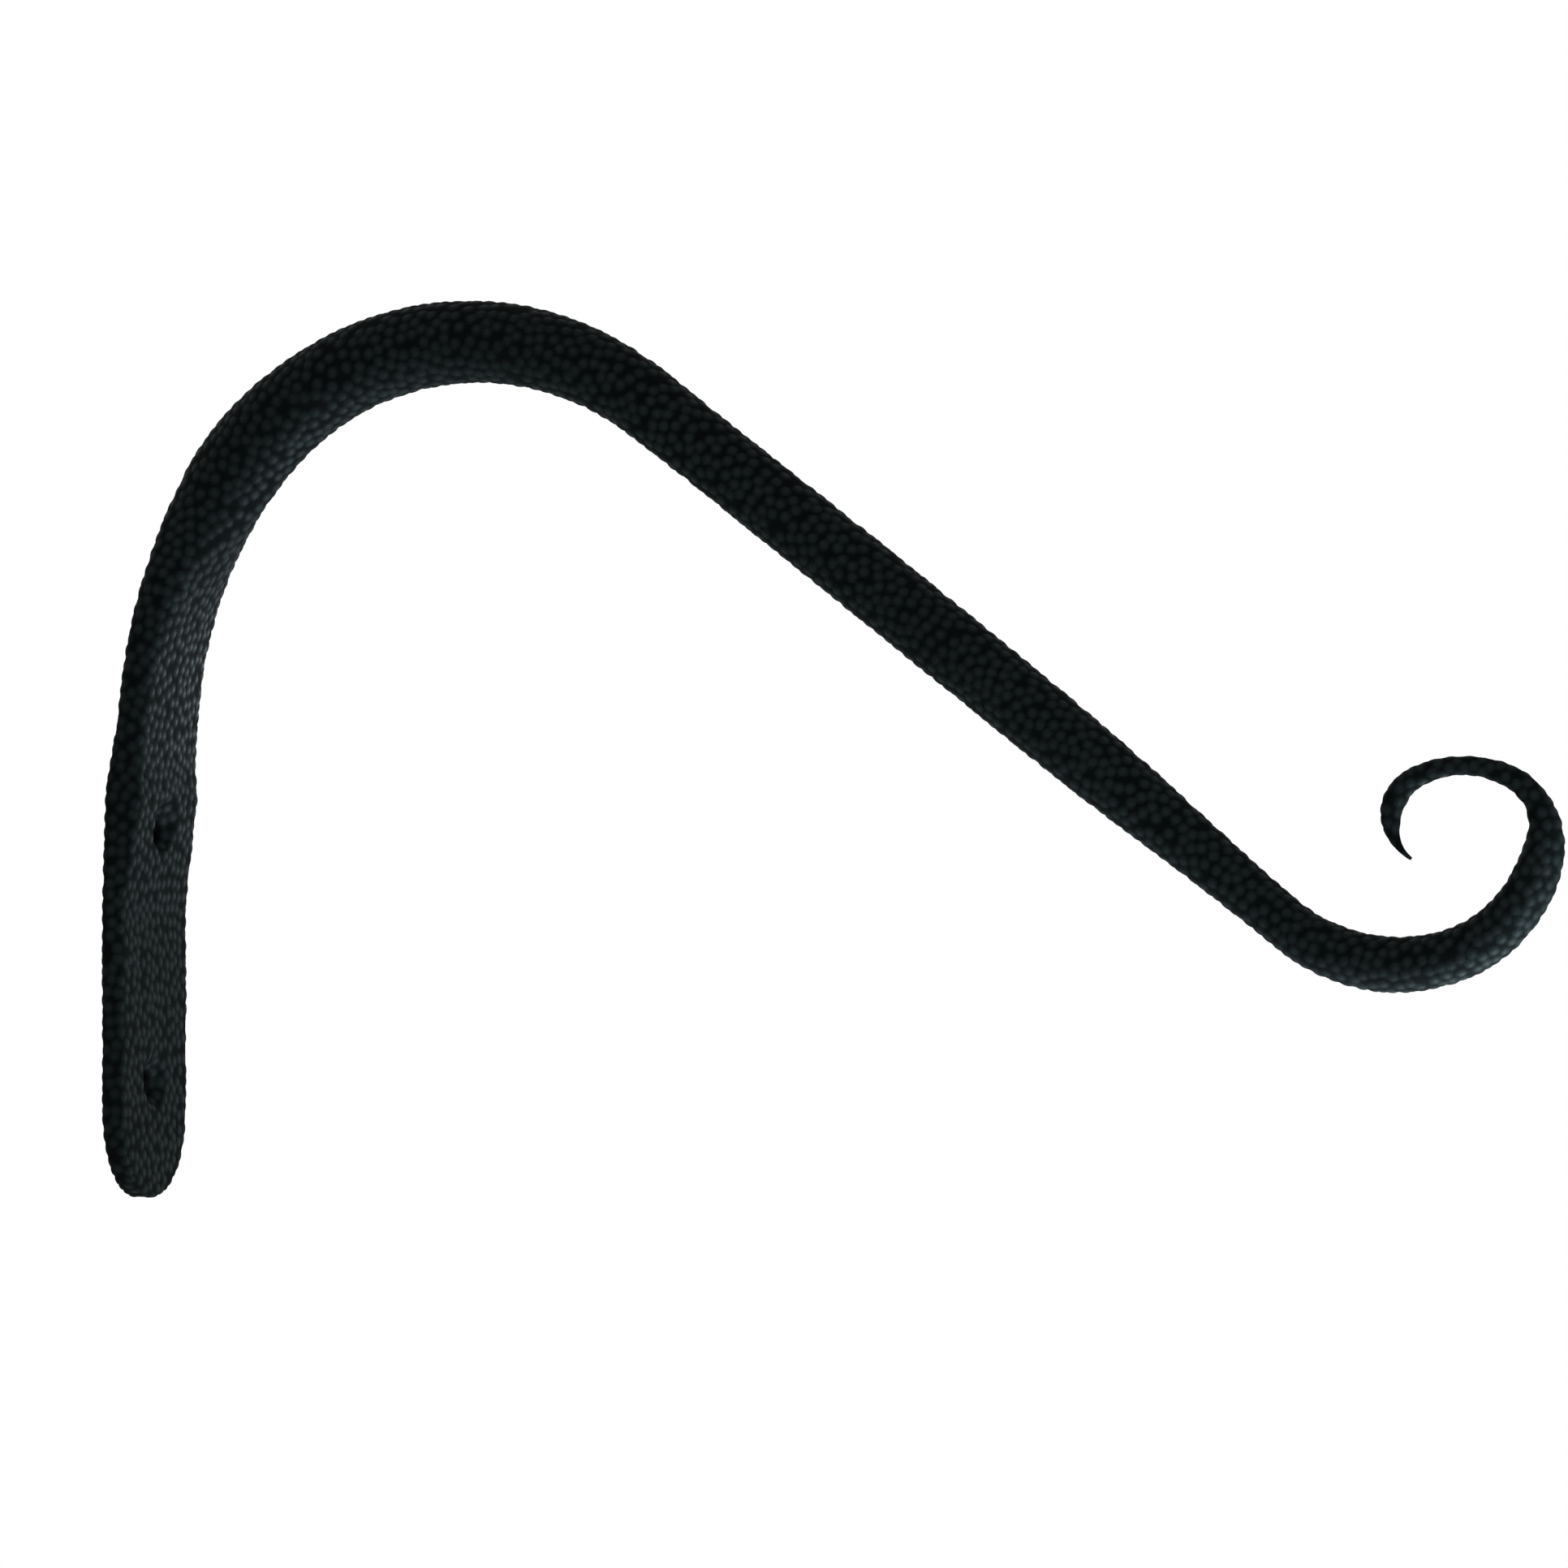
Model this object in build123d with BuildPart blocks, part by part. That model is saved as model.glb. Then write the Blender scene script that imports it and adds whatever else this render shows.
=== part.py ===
from build123d import *
from math import cos, radians, sin, tan
import os

os.makedirs("parts", exist_ok=True)

# Curved wall hook, forged in one piece from a round steel bar.
# The wall is the plane X = 0 and the hook reaches out along +X, with +Z up.
# The origin lies on the wall, half way between the two screw holes.
# Lengths are in millimetres and turns in degrees.

# Fixing pad: the end of the bar, hammered flat
pad_width = 27.6
pad_thickness = 4.0
pad_edge_radius = 0.8
nose_length = 14.5        # the rounded end, a little longer than half the width
pad_low = -40.0           # end of the nose
pad_high = 8.0            # from here up the pad draws in and thickens into its heel
heel_high = 26.0          # here the heel ends, and the back leaves the wall
heel_width = 25.0
heel_thickness = 6.6

# Screw holes, countersunk from the front
screw_spacing = 41.6
screw_hole_diameter = 4.8
screw_head_diameter = 9.2
screw_head_angle = 90.0

# Centre line of the bar: straight runs and arcs that flow into each other
lean_radius = 60.0        # the neck leans away from the wall
lean_turn = 7.0
neck_length = 10.8
shoulder_radius = 81.0    # the slow start of the arch
shoulder_turn = 23.0
arch_radius = 52.5
arm_slope = 37.0          # the arm falls at this angle at its middle
arm_length = 142.0
arm_turn = 1.8            # the arm is all but straight, with a slow bow left by the hammer
curl_radii = (32.0, 23.6, 10.4, 19.5, 7.6)
curl_turns = (57.4, 58.0, 76.0, 52.5, 122.0)

# Sizes along the neck, where the flat pad is drawn up into the round bar
neck_foot = (24.6, 6.4, 1.2, 4)    # width, thickness, corner radius and bow of the sides
neck_top = (24.0, 6.4, 1.6, 5)
shoulder_low = (22.8, 7.8, 2.2, 7)
shoulder_mid = (19.4, 11.0, 4.4, 12)

# Diameters of the round bar, evenly spaced along each run, which tapers all the way to its tip
shoulder_diameter = 14.2
arch_diameters = (14.4, 13.9, 13.6, 12.9, 11.9)
arm_diameters = (11.9, 11.9, 10.9, 8.4)
curl_diameters = ((9.1, 8.7), (8.2, 6.7), (4.6, 3.8), (3.2, 3.7), (3.4, 0.6))
round_corner = 0.49       # corner radius of the round bar as a share of its diameter
round_bow = 22.5

# Front face of the heel at the upper screw hole, and a depth that goes through the pad anywhere
heel_rise = (heel_thickness - pad_thickness) / (heel_high - pad_high)
heel_front = pad_thickness + heel_rise * (screw_spacing / 2 - pad_high)
screw_hole_depth = 4 * heel_thickness

# Centre line, drawn in the plane that the whole hook is bent in
arch_turn = 90 + arm_slope - arm_turn / 2 - lean_turn - shoulder_turn
arm_radius = arm_length / radians(arm_turn)
with BuildLine(Plane.XZ) as centre_line:
    lean = JernArc((heel_thickness / 2, heel_high), (0, 1), lean_radius, -lean_turn)
    neck = Line(lean @ 1, lean @ 1 + (lean % 1) * neck_length)
    shoulder = JernArc(neck @ 1, neck % 1, shoulder_radius, -shoulder_turn)
    arch = JernArc(shoulder @ 1, shoulder % 1, arch_radius, -arch_turn)
    arm = JernArc(arch @ 1, arch % 1, arm_radius, -arm_turn)
    curl = []
    for radius, turn in zip(curl_radii, curl_turns):
        before = curl[-1] if curl else arm
        curl.append(JernArc(before @ 1, before % 1, radius, turn))


def across(line, share):
    """Plane square to a centre line, with its own X across the bar."""
    return Plane(origin=line @ share, x_dir=(0, 1, 0), z_dir=line % share)


def level(height, thickness):
    """Plane across the pad at a height, for a section whose back lies on the wall."""
    return Plane(origin=(thickness / 2, 0, height), x_dir=(0, 1, 0), z_dir=(0, 0, 1))


def hammered_outline(width, thickness, corner, bow):
    """Four corner arcs and the four sides between them, which bow out by half the turn given.

    With a corner radius close to half the width, the outline is all but a circle.
    """
    x, y = width / 2 - corner, thickness / 2 - corner
    if bow:
        rise, run = 1 - cos(radians(bow)), sin(radians(bow))
        wide = (x * run - y * rise) / (run**2 - rise**2)
        narrow = (y * run - x * rise) / (run**2 - rise**2)
        x, y = wide * run, narrow * run
    with BuildLine() as outline:
        corners = [
            CenterArc((x * side_x, y * side_y), corner, 90 * quarter + bow, 90 - 2 * bow)
            for quarter, (side_x, side_y) in enumerate(((1, 1), (-1, 1), (-1, -1), (1, -1)))
        ]
        for before, after in zip(corners, corners[1:] + corners[:1]):
            if bow:
                TangentArc(before @ 1, after @ 0, tangent=before % 1)
            else:
                Line(before @ 1, after @ 0)
    return Face(Wire(outline.edges()))


with BuildPart() as hook:
    # The flat pad with its rounded end, its edges eased by the hammer
    with BuildSketch(Plane.YZ):
        with Locations((0, pad_low + nose_length)):
            Ellipse(pad_width / 2, nose_length)
            Rectangle(pad_width, pad_high - pad_low - nose_length, align=(Align.CENTER, Align.MIN))
    extrude(amount=pad_thickness)
    outline = hook.edges().filter_by(Axis.X, reverse=True).group_by(Axis.Z)[:-1]
    fillet([edge for group in outline for edge in group], pad_edge_radius)

    # The heel, which draws in and thickens towards the neck with its back flat on the wall
    pad_top, heel_top = (pad_width, pad_thickness), (heel_width, heel_thickness)
    for height, (width, thickness) in ((pad_high, pad_top), (heel_high, heel_top)):
        with BuildSketch(level(height, thickness)):
            add(hammered_outline(width, thickness, pad_edge_radius, bow=0))
    loft(ruled=True)

    # The neck and the round bar, swept along the centre line through every section
    with BuildSketch(across(lean, 0)):
        add(hammered_outline(heel_width, heel_thickness, pad_edge_radius, bow=0))
    hammered = ((lean, 1, neck_foot), (neck, 1, neck_top))
    hammered += ((shoulder, 0.35, shoulder_low), (shoulder, 0.7, shoulder_mid))
    for line, share, size in hammered:
        with BuildSketch(across(line, share)):
            add(hammered_outline(*size))
    rounds = [(shoulder, (shoulder_diameter,)), (arch, arch_diameters), (arm, arm_diameters)]
    rounds += zip(curl, curl_diameters)
    for line, diameters in rounds:
        for place, diameter in enumerate(diameters, start=1):
            with BuildSketch(across(line, place / len(diameters))):
                add(hammered_outline(diameter, diameter, round_corner * diameter, round_bow))
    sweep(path=centre_line.wires()[0], multisection=True)

    # The two screw holes, level with each other across the wall, each with a countersink
    # whose cone runs on past the front face
    cone_rise = screw_head_diameter / 4
    cone_growth = cone_rise * tan(radians(screw_head_angle / 2))
    for height, front in ((-screw_spacing / 2, pad_thickness), (screw_spacing / 2, heel_front)):
        seat = Plane(origin=(front + cone_rise, 0, height), x_dir=(0, 1, 0), z_dir=(1, 0, 0))
        with Locations(seat):
            CounterSinkHole(
                screw_hole_diameter / 2,
                screw_head_diameter / 2 + cone_growth,
                depth=screw_hole_depth,
                counter_sink_angle=screw_head_angle,
            )

hook.part.label = "hook"
export_step(hook.part, "parts/hook.step")
print("volume", hook.part.volume, "solids", len(hook.part.solids()), "faces", len(hook.part.faces()))
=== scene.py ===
# %% [markdown]
# # A forged wall hook with a pebbled black coat
#
# The real hook is one steel bar. A smith draws its tip down and scrolls it, bends the arch over a
# former, hammers the root flat for two wood screws, and dips or sprays the whole thing black.
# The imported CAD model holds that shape. This lesson gives it the skin that the eye sees: the small
# pebbles of the coat, the slow unevenness of hammer work, and a black that is not one flat colour.
#
# Everything is in metres, in the frame of the CAD model: the wall is the plane X = 0, the hook
# reaches out along +X, and +Z is up.

# %% Load the frame
import math

import bpy
import bmesh
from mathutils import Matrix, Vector


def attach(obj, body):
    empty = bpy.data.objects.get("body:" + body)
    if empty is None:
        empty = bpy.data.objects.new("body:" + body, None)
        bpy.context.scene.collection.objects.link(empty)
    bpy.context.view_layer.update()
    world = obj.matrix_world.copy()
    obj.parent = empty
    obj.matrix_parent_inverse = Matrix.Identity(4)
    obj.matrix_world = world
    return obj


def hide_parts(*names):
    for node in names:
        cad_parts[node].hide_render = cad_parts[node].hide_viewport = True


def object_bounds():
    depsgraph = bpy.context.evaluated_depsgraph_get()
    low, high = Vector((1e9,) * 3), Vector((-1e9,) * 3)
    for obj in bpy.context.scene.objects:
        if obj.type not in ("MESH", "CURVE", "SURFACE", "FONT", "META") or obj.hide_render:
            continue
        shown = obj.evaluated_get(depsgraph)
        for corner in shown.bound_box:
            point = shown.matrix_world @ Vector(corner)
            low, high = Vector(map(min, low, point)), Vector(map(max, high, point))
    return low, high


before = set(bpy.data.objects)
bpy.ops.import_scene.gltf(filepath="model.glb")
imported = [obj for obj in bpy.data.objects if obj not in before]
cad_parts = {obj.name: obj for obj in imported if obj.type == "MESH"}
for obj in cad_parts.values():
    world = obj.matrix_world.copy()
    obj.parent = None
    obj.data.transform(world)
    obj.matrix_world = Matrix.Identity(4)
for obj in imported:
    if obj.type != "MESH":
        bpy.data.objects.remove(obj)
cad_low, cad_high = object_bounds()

MM = 0.001
cad_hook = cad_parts["hook"]
print("CAD box in mm", [round(v / MM, 2) for v in (*cad_low, *cad_high)])

# %% [markdown]
# ## Node trees as written sums
#
# A node tree is easier to read as a formula than as a list of links. `Value` wraps one output
# socket, and the usual operators on it add Math nodes to the tree. `Tree.node` makes any other
# node: its settings are set first, because some of them change which sockets it has, and then its
# inputs get numbers or links. The same two classes serve the geometry tree and the shader.

# %% A small language for nodes
class Value:
    """One output socket, on which + - * / ** and the methods below add Math nodes."""

    def __init__(self, tree, socket):
        self.tree, self.socket = tree, socket

    def math(self, operation, *others, swap=False, clamp=False):
        inputs = [*others, self] if swap else [self, *others]
        return self.tree.node("ShaderNodeMath", {"operation": operation, "use_clamp": clamp}, inputs)

    def __add__(self, other):
        return self.math("ADD", other)

    def __radd__(self, other):
        return self.math("ADD", other, swap=True)

    def __sub__(self, other):
        return self.math("SUBTRACT", other)

    def __rsub__(self, other):
        return self.math("SUBTRACT", other, swap=True)

    def __mul__(self, other):
        return self.math("MULTIPLY", other)

    def __rmul__(self, other):
        return self.math("MULTIPLY", other, swap=True)

    def __truediv__(self, other):
        return self.math("DIVIDE", other)

    def __rtruediv__(self, other):
        return self.math("DIVIDE", other, swap=True)

    def __pow__(self, other):
        return self.math("POWER", other)

    def clipped(self):
        return self.math("ADD", 0.0, clamp=True)

    def at_most(self, other):
        return self.math("MINIMUM", other)


class Tree:
    """A node tree that is filled through one method."""

    def __init__(self, tree):
        self.tree = tree

    def node(self, kind, settings=None, inputs=(), output=0):
        """Adds a node, with inputs by place or by name, and returns one of its outputs, if it has any."""
        made = self.tree.nodes.new(kind)
        for name, value in (settings or {}).items():
            setattr(made, name, value)
        pairs = inputs.items() if isinstance(inputs, dict) else enumerate(inputs)
        for key, value in pairs:
            if isinstance(value, Value):
                self.tree.links.new(value.socket, made.inputs[key])
            else:
                made.inputs[key].default_value = value
        return Value(self, made.outputs[output]) if made.outputs else made

    def vector(self, operation, *inputs):
        """Adds a Vector Math node."""
        return self.node("ShaderNodeVectorMath", {"operation": operation}, inputs)


print("node language ready")

# %% [markdown]
# ## An even skin over the CAD shape
#
# The CAD mesh is made of long thin triangles, which can't carry a fine relief. A voxel remesh lays
# an even net of small quads over a merged copy of it, and a shrinkwrap pulls every corner of that
# net back onto the true surface, so that the countersinks and the fine tip keep their form.
# The tip of the scroll is about as thin as one voxel, and the remesh would break it off. So the copy
# is swollen a little first, which the shrinkwrap takes back.
# A subdivision would follow the long triangles instead, and a hand-built tube would lose the holes.

# %% Lay the skin
NET_SIZE = 0.51 * MM      # side of a voxel, and about that of a quad
SWELL = 0.3 * MM          # how far the copy is swollen before the remesh
JOIN_WITHIN = 0.0005 * MM


def applied(piece):
    """Replaces the piece's mesh by its evaluated one and takes the modifiers off."""
    evaluated = piece.evaluated_get(bpy.context.evaluated_depsgraph_get())
    mesh = bpy.data.meshes.new_from_object(evaluated)
    piece.modifiers.clear()
    piece.data = mesh
    return piece


def merged_copy(node, name):
    """A copy of a CAD node's mesh, with the corners of its loose triangles joined."""
    mesh = node.data.copy()
    work = bmesh.new()
    work.from_mesh(mesh)
    bmesh.ops.remove_doubles(work, verts=work.verts, dist=JOIN_WITHIN)
    work.to_mesh(mesh)
    work.free()
    piece = bpy.data.objects.new(name, mesh)
    bpy.context.scene.collection.objects.link(piece)
    return piece


hook = merged_copy(cad_hook, "forged_hook")
swell = hook.modifiers.new("swell", "DISPLACE")
swell.mid_level, swell.strength = 0.0, SWELL
net = hook.modifiers.new("net", "REMESH")
net.mode = "VOXEL"
net.voxel_size = NET_SIZE
wrap = hook.modifiers.new("wrap", "SHRINKWRAP")
wrap.target = cad_hook
wrap.wrap_method = "NEAREST_SURFACEPOINT"
applied(hook)
print("skin", len(hook.data.vertices), "corners", len(hook.data.polygons), "faces")

# %% [markdown]
# ## The pebbled coat
#
# Seen close, the coat has small low domes, a little under two millimetres apart, with narrow
# valleys between them, and they show along the outline as tiny scallops. They could be a bump in
# the shader alone, but then the outline would stay smooth. So Geometry Nodes scatter points evenly
# over the skin, and every corner sinks by how far it lies from the nearest point: the domes are
# real. Their tops stand a little over the bare metal, as a coat does, but nothing leaves the CAD
# box, so the hook keeps its size.
#
# Paint also rounds off sharp edges. The bar has none, but the flat root and its countersinks do, so
# there the corners of the net are first averaged with their neighbours a few times.
#
# The relief is limited to a share of the metal's thickness, measured by a ray through the hook, so
# that the fine tip of the scroll isn't eaten away. A second, slower unevenness is left by the
# hammer. The height is stored as an attribute, which the material reads.

# %% Grow the pebbles
PEBBLE_PITCH = 1.75 * MM
PEBBLE_DEPTH = 0.24 * MM
DOME_SPREAD = 0.62        # radius of a dome, as a share of the pitch
CROWDING = 6.0            # points tried per square of the pitch, before the crowded ones are dropped
HAMMER_PITCH = 11 * MM
HAMMER_DEPTH = 0.22 * MM
HAMMER_DETAIL = 1.0
THIN_SHARE = 0.05         # of the thickness, the most that each kind of relief may take
COAT_RISE = 0.24 * MM     # how far the tops of the domes stand over the bare metal
SOFT_STEPS = 4            # rounds of averaging that ease the edges of the flat root
ROOT_REACH = 45 * MM      # the root, which has edges, ends this far from the wall
ROOT_FADE = 0.25          # share of that reach over which the easing fades out
RAY_START = 0.05 * MM     # under the skin, so that a ray doesn't hit the face that it leaves
RAY_LENGTH = 60 * MM      # how far a ray looks for the other side of the metal
COAT_SEED = 7


def coat_tree():
    """Geometry Nodes that ease the root's edges and sink the skin between scattered pebbles."""
    group = bpy.data.node_groups.new("pebbled_coat", "GeometryNodeTree")
    group.interface.new_socket("Geometry", in_out="INPUT", socket_type="NodeSocketGeometry")
    group.interface.new_socket("Geometry", in_out="OUTPUT", socket_type="NodeSocketGeometry")
    for name, kind in (
        ("Pebble Pitch", "NodeSocketFloat"),
        ("Pebble Depth", "NodeSocketFloat"),
        ("Hammer Pitch", "NodeSocketFloat"),
        ("Hammer Depth", "NodeSocketFloat"),
        ("Thin Share", "NodeSocketFloat"),
        ("Coat Rise", "NodeSocketFloat"),
        ("Soft Steps", "NodeSocketInt"),
        ("Root Reach", "NodeSocketFloat"),
        ("Low Corner", "NodeSocketVector"),
        ("High Corner", "NodeSocketVector"),
        ("Seed", "NodeSocketInt"),
        ("Material", "NodeSocketMaterial"),
    ):
        group.interface.new_socket(name, in_out="INPUT", socket_type=kind)
    tree = Tree(group)
    entry = group.nodes.new("NodeGroupInput")
    given = {socket.name: Value(tree, socket) for socket in entry.outputs if socket.name}

    place = tree.node("GeometryNodeInputPosition")
    facing = tree.node("GeometryNodeInputNormal")

    from_wall = tree.node("ShaderNodeSeparateXYZ", {}, [place], "X")
    on_root = ((given["Root Reach"] - from_wall) / (given["Root Reach"] * ROOT_FADE)).clipped()
    eased = tree.node(
        "GeometryNodeBlurAttribute",
        {"data_type": "FLOAT_VECTOR"},
        {0: place, "Iterations": given["Soft Steps"], "Weight": on_root},
    )
    soft = tree.node(
        "GeometryNodeSetPosition", {}, {"Geometry": given["Geometry"], "Position": eased}
    )

    pebbles = tree.node(
        "GeometryNodeDistributePointsOnFaces",
        {"distribute_method": "POISSON"},
        {
            "Mesh": soft,
            "Distance Min": given["Pebble Pitch"],
            "Density Max": CROWDING / (given["Pebble Pitch"] ** 2),
            "Seed": given["Seed"],
        },
    )
    away = tree.node(
        "GeometryNodeProximity", {"target_element": "POINTS"}, {"Geometry": pebbles}, "Distance"
    )
    nearness = (1 - (away / (given["Pebble Pitch"] * DOME_SPREAD)) ** 2).clipped()

    inward = tree.vector("MULTIPLY", facing, (-1.0, -1.0, -1.0))
    start = tree.vector("MULTIPLY_ADD", inward, (RAY_START,) * 3, place)
    thickness = tree.node(
        "GeometryNodeRaycast",
        {},
        {"Target Geometry": soft, "Source Position": start, "Ray Direction": inward,
         "Ray Length": RAY_LENGTH},
        "Hit Distance",
    )
    limit = thickness * given["Thin Share"]
    depth = given["Pebble Depth"].at_most(limit)
    waves = tree.node(
        "ShaderNodeTexNoise",
        {"normalize": True},
        {"Vector": place, "Scale": 1 / given["Hammer Pitch"], "Detail": HAMMER_DETAIL},
        "Fac",
    )
    hammered = given["Hammer Depth"].at_most(limit) * waves
    rise = given["Coat Rise"].at_most(limit)
    sunk = depth * (1 - nearness) + hammered - rise
    by_sunk = tree.node("ShaderNodeCombineXYZ", {}, [sunk] * 3)
    target = tree.vector("MULTIPLY_ADD", inward, by_sunk, place)
    below_top = tree.vector("MINIMUM", target, given["High Corner"])
    inside = tree.vector("MAXIMUM", below_top, given["Low Corner"])

    noted = tree.node(
        "GeometryNodeStoreNamedAttribute",
        {"data_type": "FLOAT", "domain": "POINT"},
        {"Geometry": soft, "Name": "pebble", "Value": nearness},
    )
    moved = tree.node("GeometryNodeSetPosition", {}, {"Geometry": noted, "Position": inside})
    smooth = tree.node("GeometryNodeSetShadeSmooth", {}, {"Geometry": moved})
    real = tree.node("GeometryNodeRealizeInstances", {}, {"Geometry": smooth})
    painted = tree.node(
        "GeometryNodeSetMaterial", {}, {"Geometry": real, "Material": given["Material"]}
    )
    leave = group.nodes.new("NodeGroupOutput")
    group.links.new(painted.socket, leave.inputs["Geometry"])
    return group


def with_tree(piece, group, values):
    """Puts the tree on the piece with its named inputs set, and returns the piece as plain mesh."""
    modifier = piece.modifiers.new(group.name, "NODES")
    modifier.node_group = group
    for item in group.interface.items_tree:
        if item.in_out == "INPUT" and item.name in values:
            modifier[item.identifier] = values[item.name]
    return applied(piece)


print("coat tree ready")

# %% [markdown]
# ## The black itself
#
# The coat is a satin black with a trace of blue-green. Its colour is lighter on the domes than in the
# valleys: painted shade in the valleys between the pebbles and a painted highlight on the dome tops.
# The domes are also a good deal smoother than the valleys, and slow cloudy patches break up both
# colour and sheen. The lit root shows this best: each dome has its own small glint. A fine grain, far
# smaller than the pebbles, is left to a bump, because no outline shows it.

# %% Mix the coat
# painted shade: the darkened colour of the valleys between the pebbles
VALLEY_SHADE_BLACK = (0.0010, 0.0014, 0.0014)
# painted highlight: the lightened colour of the dome tops
DOME_HIGHLIGHT_BLACK = (0.0054, 0.0074, 0.0076)
VALLEY_ROUGH = 0.88
DOME_SMOOTHER = 0.45      # how much less rough a dome's top is
GLOSS = 0.027             # specular level, low because the dry coat mirrors little face on
GLOSS_TINT = (0.78, 0.93, 1.0, 1.0)
CLOUD_PITCH = 22 * MM
CLOUD_DETAIL = 3.0
CLOUD_ROUGHNESS = 0.16    # how far the roughness swings from cloud to cloud
CLOUD_SHADE = 0.9         # how far the lightness of the domes swings from cloud to cloud
LEAST_SHADE = 0.45        # share of the dome colour that is left in the darkest cloud
GRAIN_PITCH = 0.35 * MM
GRAIN_DETAIL = 2.0
GRAIN_ROUGHNESS = 0.1
GRAIN_HEIGHT = 0.05 * MM
GRAIN_STRENGTH = 0.35
FACTOR, FIRST, SECOND, MIXED = 0, 6, 7, 2    # the sockets of a Mix node for colours, by place


def black_coat():
    """Satin black, smoother on the pebbles than between them, with painted shade in the valleys and a
    painted highlight on the domes.
    """
    material = bpy.data.materials.new("black_coat")
    material.use_nodes = True
    material.node_tree.nodes.clear()
    tree = Tree(material.node_tree)
    place = tree.node("ShaderNodeTexCoord", output="Object")
    dome = tree.node("ShaderNodeAttribute", {"attribute_name": "pebble"}, output="Fac")

    def noise(pitch, detail):
        return tree.node(
            "ShaderNodeTexNoise", {}, {"Vector": place, "Scale": 1 / pitch, "Detail": detail}, "Fac"
        )

    def mix(share, first, second):
        return tree.node(
            "ShaderNodeMix",
            {"data_type": "RGBA"},
            {FACTOR: share, FIRST: (*first, 1.0), SECOND: (*second, 1.0)},
            MIXED,
        )

    clouds = noise(CLOUD_PITCH, CLOUD_DETAIL)
    grain = noise(GRAIN_PITCH, GRAIN_DETAIL)
    # painted light: the colour runs from the painted valley shade to the painted dome highlight, and the
    # clouds vary it
    colour = mix(dome * (LEAST_SHADE + CLOUD_SHADE * clouds), VALLEY_SHADE_BLACK, DOME_HIGHLIGHT_BLACK)
    unevenness = CLOUD_ROUGHNESS * (clouds - 0.5) + GRAIN_ROUGHNESS * (grain - 0.5)
    rough = VALLEY_ROUGH - DOME_SMOOTHER * dome + unevenness
    bump = tree.node(
        "ShaderNodeBump", {}, {"Strength": GRAIN_STRENGTH, "Distance": GRAIN_HEIGHT, "Height": grain}
    )
    shader = tree.node(
        "ShaderNodeBsdfPrincipled",
        {},
        {"Base Color": colour, "Roughness": rough, "Normal": bump, "Specular IOR Level": GLOSS,
         "Specular Tint": GLOSS_TINT},
    )
    tree.node("ShaderNodeOutputMaterial", {}, {"Surface": shader})
    return material


print("coat mixed, domes", DOME_HIGHLIGHT_BLACK)

# %% [markdown]
# ## Coat the hook
#
# The tree runs once with its sizes filled in, and its result is kept as a plain mesh. That mesh rides
# on the hook's one body and stands in for the bare CAD solid, which stays underneath for collisions.

# %% Coat the hook
with_tree(
    hook,
    coat_tree(),
    {
        "Pebble Pitch": PEBBLE_PITCH,
        "Pebble Depth": PEBBLE_DEPTH,
        "Hammer Pitch": HAMMER_PITCH,
        "Hammer Depth": HAMMER_DEPTH,
        "Thin Share": THIN_SHARE,
        "Coat Rise": COAT_RISE,
        "Soft Steps": SOFT_STEPS,
        "Root Reach": ROOT_REACH,
        "Low Corner": tuple(cad_low),
        "High Corner": tuple(cad_high),
        "Seed": COAT_SEED,
        "Material": black_coat(),
    },
)
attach(hook, "root")
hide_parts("hook")
triangles = sum(len(face.vertices) - 2 for face in hook.data.polygons)
print("coated hook", triangles, "triangles")

# %% [markdown]
# ## Floor and light
#
# A hook hangs on a wall, so the floor lies well below it. The picture's ground is plain white: the
# world is white to the camera and to reflections, while its light on the hook stays at a plain
# level. One broad lamp in front fills the side that faces the camera. Black paint shows its form
# mostly by what it mirrors, so three small lamps only draw sheens: one far behind, whose narrow beam
# grazes the front of the neck and fades down the pad, one low on the right for the outside of the
# curl, and one just over the floor for the undersides of the arch and the curl. They are a little
# cool, as the sheens in the picture are, and the low ones are narrowed to keep them off the floor.

# %% Set the stage
FLOOR_DROP = 0.20         # from the lowest point of the hook down to the floor
FLOOR_RADIUS = 1.1
FLOOR_SIDES = 128
FLOOR_WHITE = (0.86, 0.86, 0.86, 1.0)
FLOOR_ROUGHNESS = 0.9
PLAIN_LIGHT = 0.65        # strength of the world's light on the hook and the floor
WHITE = (1.0, 1.0, 1.0)
COOL_WHITE = (0.80, 0.95, 1.0)
NECK_HEIGHT = 54 * MM     # of the point of the neck that its lamp faces
CURL_INSET = 20 * MM      # from the far end of the hook back to the middle of the curl
CURL_HEIGHT = 15 * MM


def floor_material():
    """Matt off-white paper."""
    material = bpy.data.materials.new("pale_floor")
    material.use_nodes = True
    shader = material.node_tree.nodes["Principled BSDF"]
    shader.inputs["Base Color"].default_value = FLOOR_WHITE
    shader.inputs["Roughness"].default_value = FLOOR_ROUGHNESS
    return material


def make_floor():
    """A round pale floor, centred under the hook."""
    work = bmesh.new()
    bmesh.ops.create_circle(work, cap_ends=True, segments=FLOOR_SIDES, radius=FLOOR_RADIUS)
    bmesh.ops.translate(work, verts=work.verts, vec=(middle.x, middle.y, cad_low.z - FLOOR_DROP))
    mesh = bpy.data.meshes.new("floor")
    work.to_mesh(mesh)
    work.free()
    floor = bpy.data.objects.new("floor", mesh)
    floor.data.materials.append(floor_material())
    bpy.context.scene.collection.objects.link(floor)


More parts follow.
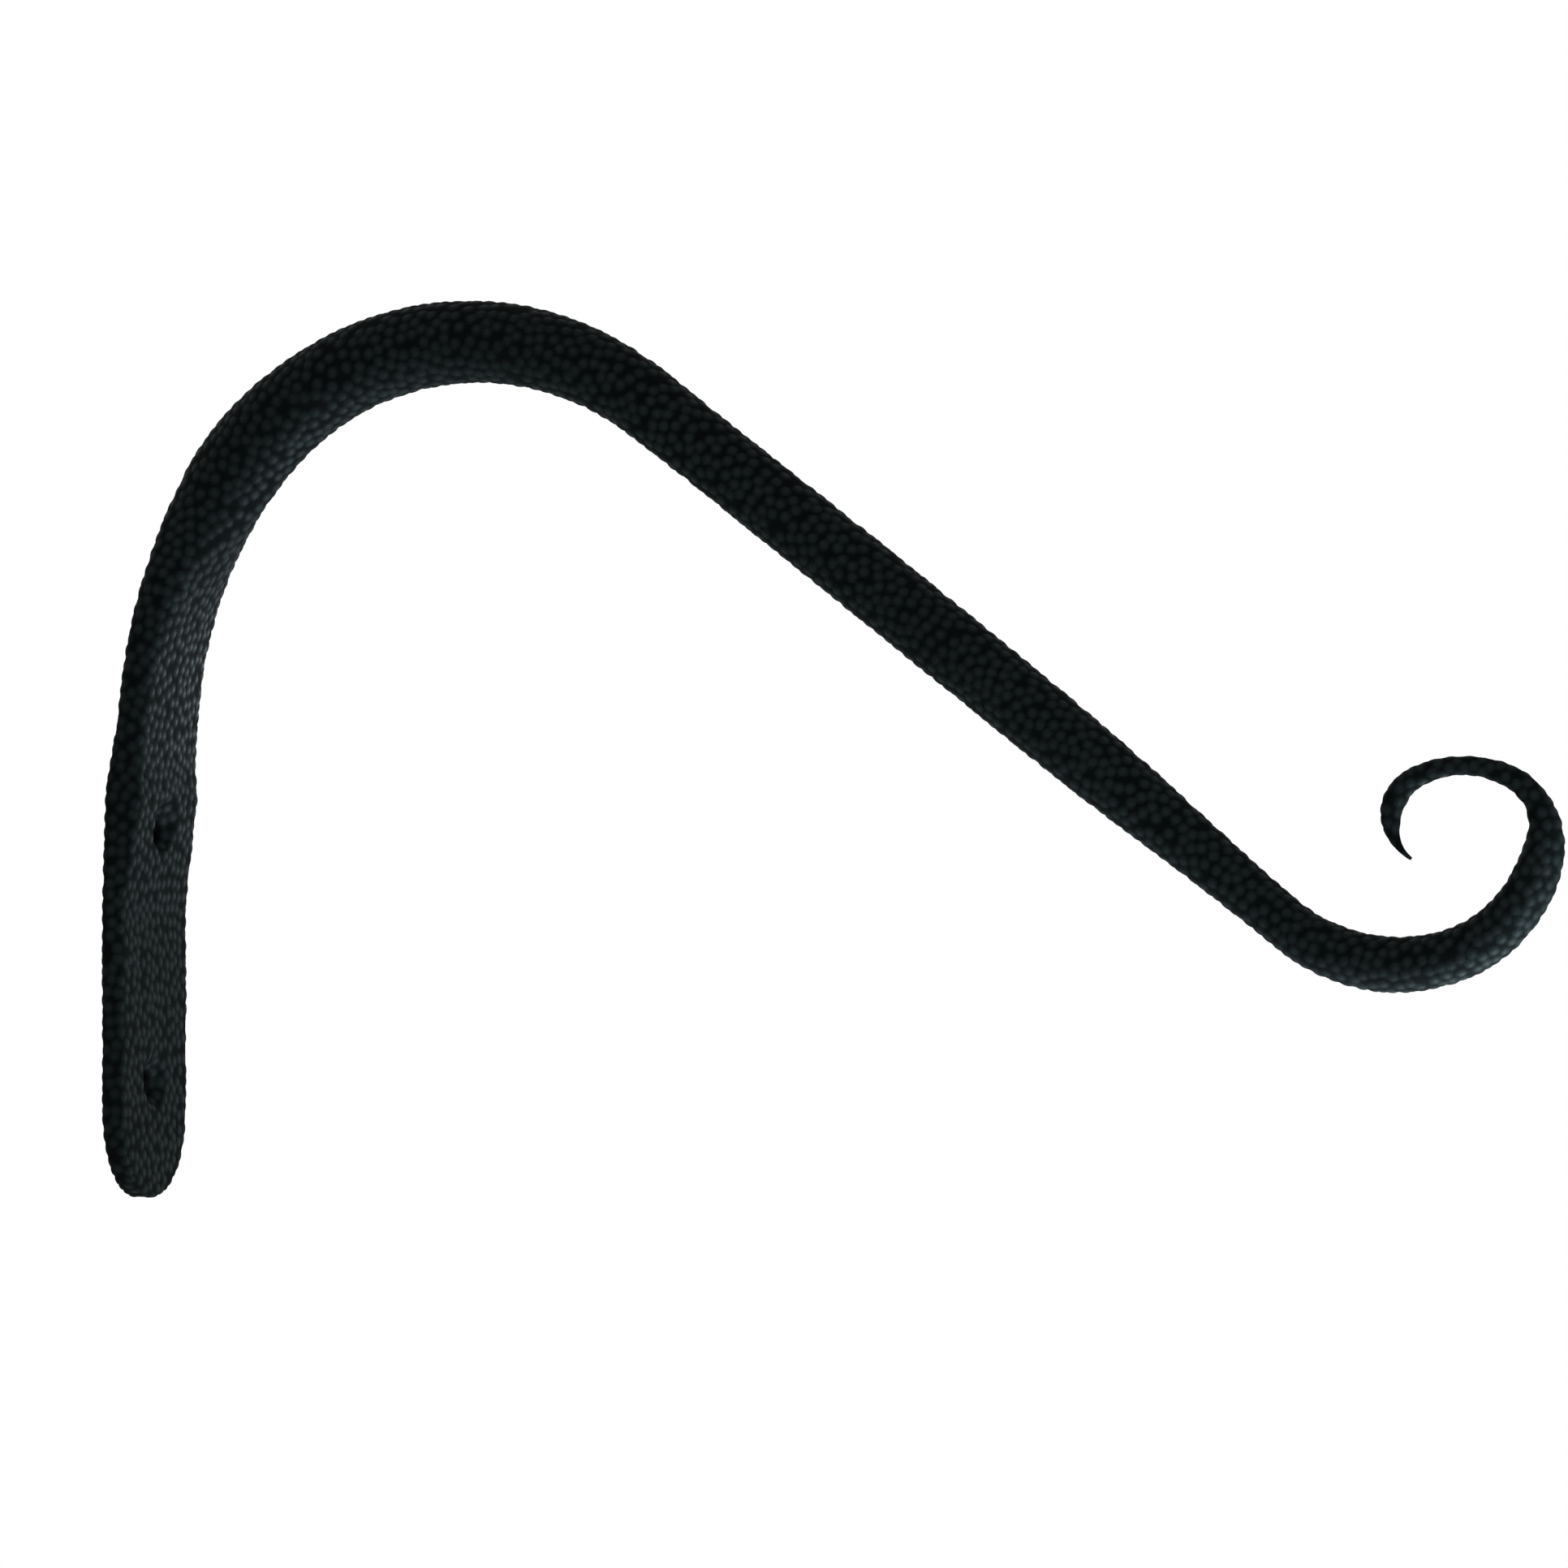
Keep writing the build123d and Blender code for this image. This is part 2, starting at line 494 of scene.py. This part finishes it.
def make_world(plain_light):
    """White to the camera and in reflections, and a plain soft light on everything else."""
    world = bpy.data.worlds.new("studio")
    bpy.context.scene.world = world
    world.use_nodes = True
    world.node_tree.nodes.clear()
    tree = Tree(world.node_tree)
    rays = [
        tree.node("ShaderNodeLightPath", output=name)
        for name in ("Is Camera Ray", "Is Glossy Ray", "Is Transmission Ray")
    ]
    seen = (rays[0] + rays[1] + rays[2]).clipped()
    strength = plain_light + (1 - plain_light) * seen
    light = tree.node("ShaderNodeBackground", {}, {"Color": (*WHITE, 1.0), "Strength": strength})
    tree.node("ShaderNodeOutputWorld", {}, {"Surface": light})


def lamp(name, target, offset, side, watts, spread=180, colour=COOL_WHITE):
    """A square soft lamp that faces a point of the hook; a spread under 180 narrows its beam."""
    data = bpy.data.lights.new(name, "AREA")
    data.size, data.energy, data.color = side, watts, colour
    data.spread = math.radians(spread)
    lit = bpy.data.objects.new(name, data)
    lit.location = target + Vector(offset)
    lit.visible_camera = False
    lit.rotation_euler = (-Vector(offset)).to_track_quat("-Z", "Y").to_euler()
    bpy.context.scene.collection.objects.link(lit)


middle = (cad_low + cad_high) / 2
neck = Vector((0.0, 0.0, NECK_HEIGHT))
curl = Vector((cad_high.x - CURL_INSET, 0.0, CURL_HEIGHT))
make_floor()
make_world(PLAIN_LIGHT)
lamp("front", middle, (-0.3, -0.8, 0.6), side=0.6, watts=4.8, colour=WHITE)
lamp("root_sheen", neck, (0.35, 0.92, -0.16), side=0.03, watts=0.0023, spread=5)
lamp("curl_sheen", curl, (0.17, -0.03, -0.11), side=0.15, watts=0.44, spread=100)
lamp("under_sheen", middle, (0.10, 0.04, -0.25), side=0.25, watts=1.45, spread=80)
print("stage set")

# %% [markdown]
# ## The camera
#
# The hook is seen nearly from its side, turned so that a sliver of the front of the root shows, and
# at its own height. The camera stands far off behind a very long lens, which keeps upright lines
# upright and the near curl no larger than the far root.

# %% Aim the camera
TURN = math.radians(22.5)         # round from the hook's side towards its front
PICTURE_WIDTH = 257.3 * MM        # what the frame takes in at the hook
ACROSS = 107.3 * MM               # from the wall to the middle of the frame, along the picture
UP = 28.2 * MM                    # from the middle of the screw holes to that of the frame
DISTANCE = 11.0
SENSOR = 36.0                     # width in millimetres, as the lens is
CLIP_START, CLIP_END = 1.0, 30.0

camera_data = bpy.data.cameras.new("camera")
camera_data.sensor_width = SENSOR
camera_data.lens = SENSOR * DISTANCE / PICTURE_WIDTH
camera = bpy.data.objects.new("camera", camera_data)
back = Vector((math.sin(TURN), -math.cos(TURN), 0.0))
right = Vector((math.cos(TURN), math.sin(TURN), 0.0))
reach = (cad_low.x + cad_high.x) / 2
aim = right * ACROSS + back * (reach * math.sin(TURN)) + Vector((0.0, 0.0, UP))
camera.location = aim + back * DISTANCE
camera.rotation_euler = (-back).to_track_quat("-Z", "Y").to_euler()
camera_data.clip_start, camera_data.clip_end = CLIP_START, CLIP_END
bpy.context.scene.collection.objects.link(camera)
bpy.context.scene.camera = camera
bpy.context.scene.view_settings.view_transform = "Standard"
print("lens", round(camera_data.lens, 1), "mm")
